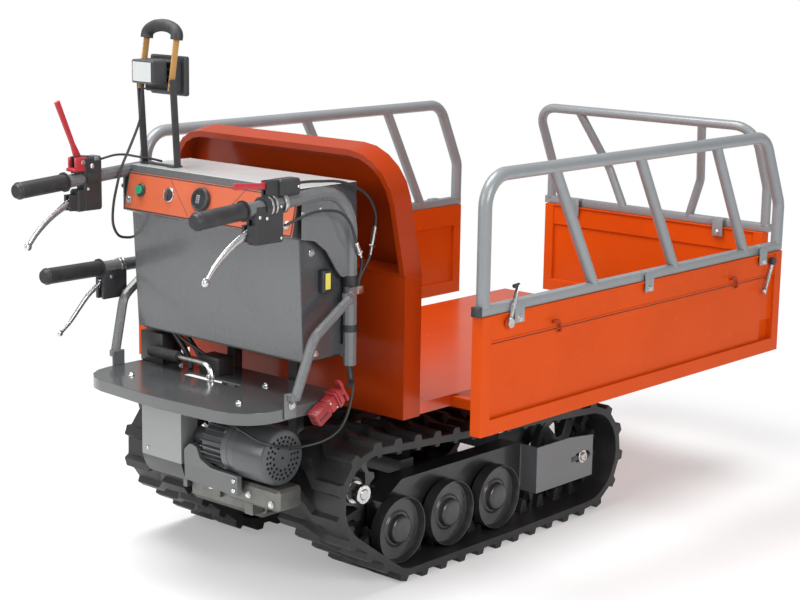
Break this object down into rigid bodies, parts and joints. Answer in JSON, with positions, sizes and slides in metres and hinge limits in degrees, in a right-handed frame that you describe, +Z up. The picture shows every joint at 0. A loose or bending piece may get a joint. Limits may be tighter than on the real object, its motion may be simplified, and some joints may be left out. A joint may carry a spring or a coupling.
{
  "type": "tracked power barrow",
  "caption": "Walk-behind electric tracked barrow with a tipping load bed, sliding side and front boards with cage rails, a rear console and a work lamp.",
  "frame": {"origin": "on the ground under the middle of the whole barrow, load bed level and all boards pulled out", "axes": "+X forward, from the operator to the load bed's front; +Y to the operator's left; +Z up"},
  "size_m": [1.8598, 1.0408, 1.1314],
  "materials": {
    "cable_left": "black sheath",
    "cable_right": "black sheath, plated adjusters",
    "charge_gauge": "black bezel, no markings",
    "console_box": "satin dark grey powder coat",
    "control_panel": "glossy orange powder coat",
    "deck": "glossy orange powder coat",
    "drive_cover": "satin grey powder coat",
    "drive_motor": "satin dark grey paint",
    "drive_sprocket_left": "dark painted casting",
    "drive_sprocket_right": "dark painted casting",
    "front_panel": "glossy orange powder coat",
    "front_rail": "satin grey powder coat",
    "gear_lever": "plated rod, black grip",
    "grip_left": "soft black rubber",
    "grip_right": "soft black rubber",
    "handlebar_left": "satin grey powder coat",
    "handlebar_right": "satin grey powder coat",
    "headboard": "glossy orange powder coat",
    "idler_left": "semi-matt dark grey paint",
    "idler_right": "semi-matt dark grey paint",
    "key_switch": "plated key and barrel",
    "lamp_handle": "tan foam over painted steel legs",
    "lamp_head": "black die casting with a clear lens",
    "lamp_lead": "black sheath",
    "lamp_mast": "black paint",
    "latch_front_left": "zinc plated",
    "latch_front_right": "zinc plated",
    "latch_rear_left": "zinc plated",
    "latch_rear_right": "zinc plated",
    "lever_bracket_left": "black glass-filled plastic",
    "lever_bracket_right": "black glass-filled plastic",
    "main_frame": "semi-matt dark grey paint",
    "power_connector": "red moulded plastic",
    "power_leads": "black and grey sheaths",
    "road_wheel_1_left": "semi-matt dark grey paint",
    "road_wheel_1_right": "semi-matt dark grey paint",
    "road_wheel_2_left": "semi-matt dark grey paint",
    "road_wheel_2_right": "semi-matt dark grey paint",
    "road_wheel_3_left": "semi-matt dark grey paint",
    "road_wheel_3_right": "semi-matt dark grey paint",
    "rubber_track_left": "moulded rubber with dust in the lugs",
    "rubber_track_right": "moulded rubber with dust in the lugs",
    "side_panel_left": "glossy orange powder coat",
    "side_panel_right": "glossy orange powder coat",
    "side_rail_left": "satin grey powder coat",
    "side_rail_right": "satin grey powder coat",
    "squeeze_lever_left": "polished die casting",
    "squeeze_lever_right": "polished die casting",
    "start_button": "green moulded plastic",
    "stay_left": "satin grey powder coat",
    "stay_right": "satin grey powder coat",
    "step_plate": "satin grey powder coat",
    "thumb_lever_left": "red moulded plastic",
    "thumb_lever_right": "red moulded plastic",
    "tipping_grip": "soft black rubber",
    "tipping_handle": "glossy orange powder coat",
    "tipping_lever": "glossy orange powder coat",
    "track_frame_left": "semi-matt dark grey paint",
    "track_frame_right": "semi-matt dark grey paint",
    "transmission_case": "bare sand-cast metal"
  },
  "bodies": {
    "chassis": {"main_frame": "main_frame", "transmission_case": "transmission_case", "drive_cover": "drive_cover", "drive_motor": "drive_motor", "step_plate": "step_plate", "console_box": "console_box", "control_panel": "control_panel", "charge_gauge": "charge_gauge", "lamp_mast": "lamp_mast", "power_connector": "power_connector", "power_leads": "power_leads", "cable_right": "cable_right", "cable_left": "cable_left", "lamp_lead": "lamp_lead", "track_frame_left": "track_frame_left", "track_frame_right": "track_frame_right", "rubber_track_left": "rubber_track_left", "rubber_track_right": "rubber_track_right", "handlebar_left": "handlebar_left", "handlebar_right": "handlebar_right", "stay_left": "stay_left", "stay_right": "stay_right", "grip_left": "grip_left", "grip_right": "grip_right", "lever_bracket_left": "lever_bracket_left", "lever_bracket_right": "lever_bracket_right"},
    "key": {"key_switch": "key_switch"},
    "button": {"start_button": "start_button"},
    "gear_shift": {"gear_lever": "gear_lever"},
    "lamp": {"lamp_head": "lamp_head", "lamp_handle": "lamp_handle"},
    "bed": {"deck": "deck", "headboard": "headboard", "tipping_handle": "tipping_handle", "tipping_grip": "tipping_grip"},
    "tip_release": {"tipping_lever": "tipping_lever"},
    "front_extension": {"front_panel": "front_panel", "front_rail": "front_rail"},
    "side_extension_left": {"side_panel_left": "side_panel_left", "side_rail_left": "side_rail_left"},
    "drive_sprocket_left": {"drive_sprocket_left": "drive_sprocket_left"},
    "road_wheel_1_left": {"road_wheel_1_left": "road_wheel_1_left"},
    "road_wheel_2_left": {"road_wheel_2_left": "road_wheel_2_left"},
    "road_wheel_3_left": {"road_wheel_3_left": "road_wheel_3_left"},
    "idler_left": {"idler_left": "idler_left"},
    "squeeze_lever_left": {"squeeze_lever_left": "squeeze_lever_left"},
    "thumb_lever_left": {"thumb_lever_left": "thumb_lever_left"},
    "latch_rear_left": {"latch_rear_left": "latch_rear_left"},
    "latch_front_left": {"latch_front_left": "latch_front_left"},
    "side_extension_right": {"side_panel_right": "side_panel_right", "side_rail_right": "side_rail_right"},
    "drive_sprocket_right": {"drive_sprocket_right": "drive_sprocket_right"},
    "road_wheel_1_right": {"road_wheel_1_right": "road_wheel_1_right"},
    "road_wheel_2_right": {"road_wheel_2_right": "road_wheel_2_right"},
    "road_wheel_3_right": {"road_wheel_3_right": "road_wheel_3_right"},
    "idler_right": {"idler_right": "idler_right"},
    "squeeze_lever_right": {"squeeze_lever_right": "squeeze_lever_right"},
    "thumb_lever_right": {"thumb_lever_right": "thumb_lever_right"},
    "latch_rear_right": {"latch_rear_right": "latch_rear_right"},
    "latch_front_right": {"latch_front_right": "latch_front_right"}
  },
  "joints": [
    {"name": "bed_tip", "type": "hinge", "parent": "chassis", "child": "bed", "pos_m": [0.31101, 0, 0.312], "axis": [0, 1, 0], "range_deg": [0, 32]},
    {"name": "front_extension_slide", "type": "slide", "parent": "bed", "child": "front_extension", "axis": [-1, 0, 0], "range_m": [0, 0.186]},
    {"name": "side_extension_left_slide", "type": "slide", "parent": "bed", "child": "side_extension_left", "axis": [0, -1, 0], "range_m": [0, 0.16]},
    {"name": "side_extension_right_slide", "type": "slide", "parent": "bed", "child": "side_extension_right", "axis": [0, 1, 0], "range_m": [0, 0.16]},
    {"name": "tip_release_squeeze", "type": "hinge", "parent": "bed", "child": "tip_release", "pos_m": [-0.67899, 0.308, 0.579], "axis": [0, 1, 0], "range_deg": [0, 20], "stiffness_Nm_per_rad": 0.5, "springref_deg": -17.19},
    {"name": "gear_lever_slide", "type": "slide", "parent": "chassis", "child": "gear_shift", "axis": [0, 1, 0], "range_m": [-0.04, 0.04]},
    {"name": "lamp_tilt", "type": "hinge", "parent": "chassis", "child": "lamp", "pos_m": [-0.62449, 0.189, 1.0009], "axis": [0, 1, 0], "range_deg": [-20, 10], "deforming": ["lamp_lead"]},
    {"name": "key_turn", "type": "hinge", "parent": "chassis", "child": "key", "pos_m": [-0.66111, 0.114, 0.78315], "axis": [-0.9746, 0, 0.224], "range_deg": [0, 90]},
    {"name": "start_press", "type": "slide", "parent": "chassis", "child": "button", "axis": [0.9746, 0, -0.224], "range_m": [0, 0.003], "stiffness_N_per_m": 300},
    {"name": "drive_sprocket_left_spin", "type": "hinge", "parent": "chassis", "child": "drive_sprocket_left", "pos_m": [-0.50099, 0.2307, 0.203], "axis": [0, 1, 0], "continuous": true},
    {"name": "road_wheel_1_left_spin", "type": "hinge", "parent": "chassis", "child": "road_wheel_1_left", "pos_m": [-0.38429, 0.2307, 0.1012], "axis": [0, 1, 0], "continuous": true},
    {"name": "road_wheel_2_left_spin", "type": "hinge", "parent": "chassis", "child": "road_wheel_2_left", "pos_m": [-0.22579, 0.2307, 0.1012], "axis": [0, 1, 0], "continuous": true},
    {"name": "road_wheel_3_left_spin", "type": "hinge", "parent": "chassis", "child": "road_wheel_3_left", "pos_m": [-0.06729, 0.2307, 0.1012], "axis": [0, 1, 0], "continuous": true},
    {"name": "idler_left_spin", "type": "hinge", "parent": "chassis", "child": "idler_left", "pos_m": [0.22301, 0.2307, 0.136], "axis": [0, 1, 0], "continuous": true},
    {"name": "squeeze_lever_left_pull", "type": "hinge", "parent": "chassis", "child": "squeeze_lever_left", "pos_m": [-0.79299, 0.2615, 0.764], "axis": [0, 1, 0], "range_deg": [0, 20], "stiffness_Nm_per_rad": 0.5, "springref_deg": -17.19},
    {"name": "thumb_lever_left_turn", "type": "hinge", "parent": "chassis", "child": "thumb_lever_left", "pos_m": [-0.76949, 0.2615, 0.8455], "axis": [0, 1, 0], "range_deg": [-70, 0]},
    {"name": "latch_rear_left_turn", "type": "hinge", "parent": "side_extension_left", "child": "latch_rear_left", "pos_m": [-0.33199, 0.5154, 0.566], "axis": [0, 1, 0], "range_deg": [-75, 0]},
    {"name": "latch_front_left_turn", "type": "hinge", "parent": "side_extension_left", "child": "latch_front_left", "pos_m": [0.65701, 0.5154, 0.566], "axis": [0, 1, 0], "range_deg": [-80, 0]},
    {"name": "drive_sprocket_right_spin", "type": "hinge", "parent": "chassis", "child": "drive_sprocket_right", "pos_m": [-0.50099, -0.2307, 0.203], "axis": [0, 1, 0], "continuous": true},
    {"name": "road_wheel_1_right_spin", "type": "hinge", "parent": "chassis", "child": "road_wheel_1_right", "pos_m": [-0.38429, -0.2307, 0.1012], "axis": [0, 1, 0], "continuous": true},
    {"name": "road_wheel_2_right_spin", "type": "hinge", "parent": "chassis", "child": "road_wheel_2_right", "pos_m": [-0.22579, -0.2307, 0.1012], "axis": [0, 1, 0], "continuous": true},
    {"name": "road_wheel_3_right_spin", "type": "hinge", "parent": "chassis", "child": "road_wheel_3_right", "pos_m": [-0.06729, -0.2307, 0.1012], "axis": [0, 1, 0], "continuous": true},
    {"name": "idler_right_spin", "type": "hinge", "parent": "chassis", "child": "idler_right", "pos_m": [0.22301, -0.2307, 0.136], "axis": [0, 1, 0], "continuous": true},
    {"name": "squeeze_lever_right_pull", "type": "hinge", "parent": "chassis", "child": "squeeze_lever_right", "pos_m": [-0.79299, -0.2615, 0.764], "axis": [0, 1, 0], "range_deg": [0, 20], "stiffness_Nm_per_rad": 0.5, "springref_deg": -17.19},
    {"name": "thumb_lever_right_turn", "type": "hinge", "parent": "chassis", "child": "thumb_lever_right", "pos_m": [-0.73899, -0.2615, 0.848], "axis": [0, 1, 0], "range_deg": [0, 70]},
    {"name": "latch_rear_right_turn", "type": "hinge", "parent": "side_extension_right", "child": "latch_rear_right", "pos_m": [-0.33199, -0.5154, 0.566], "axis": [0, 1, 0], "range_deg": [-75, 0]},
    {"name": "latch_front_right_turn", "type": "hinge", "parent": "side_extension_right", "child": "latch_front_right", "pos_m": [0.65701, -0.5154, 0.566], "axis": [0, 1, 0], "range_deg": [-80, 0]}
  ],
  "couplings": [
    {"joint": "road_wheel_1_left_spin", "follows": "drive_sprocket_left_spin", "ratio": 1.2978},
    {"joint": "road_wheel_2_left_spin", "follows": "drive_sprocket_left_spin", "ratio": 1.2978},
    {"joint": "road_wheel_3_left_spin", "follows": "drive_sprocket_left_spin", "ratio": 1.2978},
    {"joint": "idler_left_spin", "follows": "drive_sprocket_left_spin", "ratio": 0.8482},
    {"joint": "road_wheel_1_right_spin", "follows": "drive_sprocket_right_spin", "ratio": 1.2978},
    {"joint": "road_wheel_2_right_spin", "follows": "drive_sprocket_right_spin", "ratio": 1.2978},
    {"joint": "road_wheel_3_right_spin", "follows": "drive_sprocket_right_spin", "ratio": 1.2978},
    {"joint": "idler_right_spin", "follows": "drive_sprocket_right_spin", "ratio": 0.8482}
  ]
}
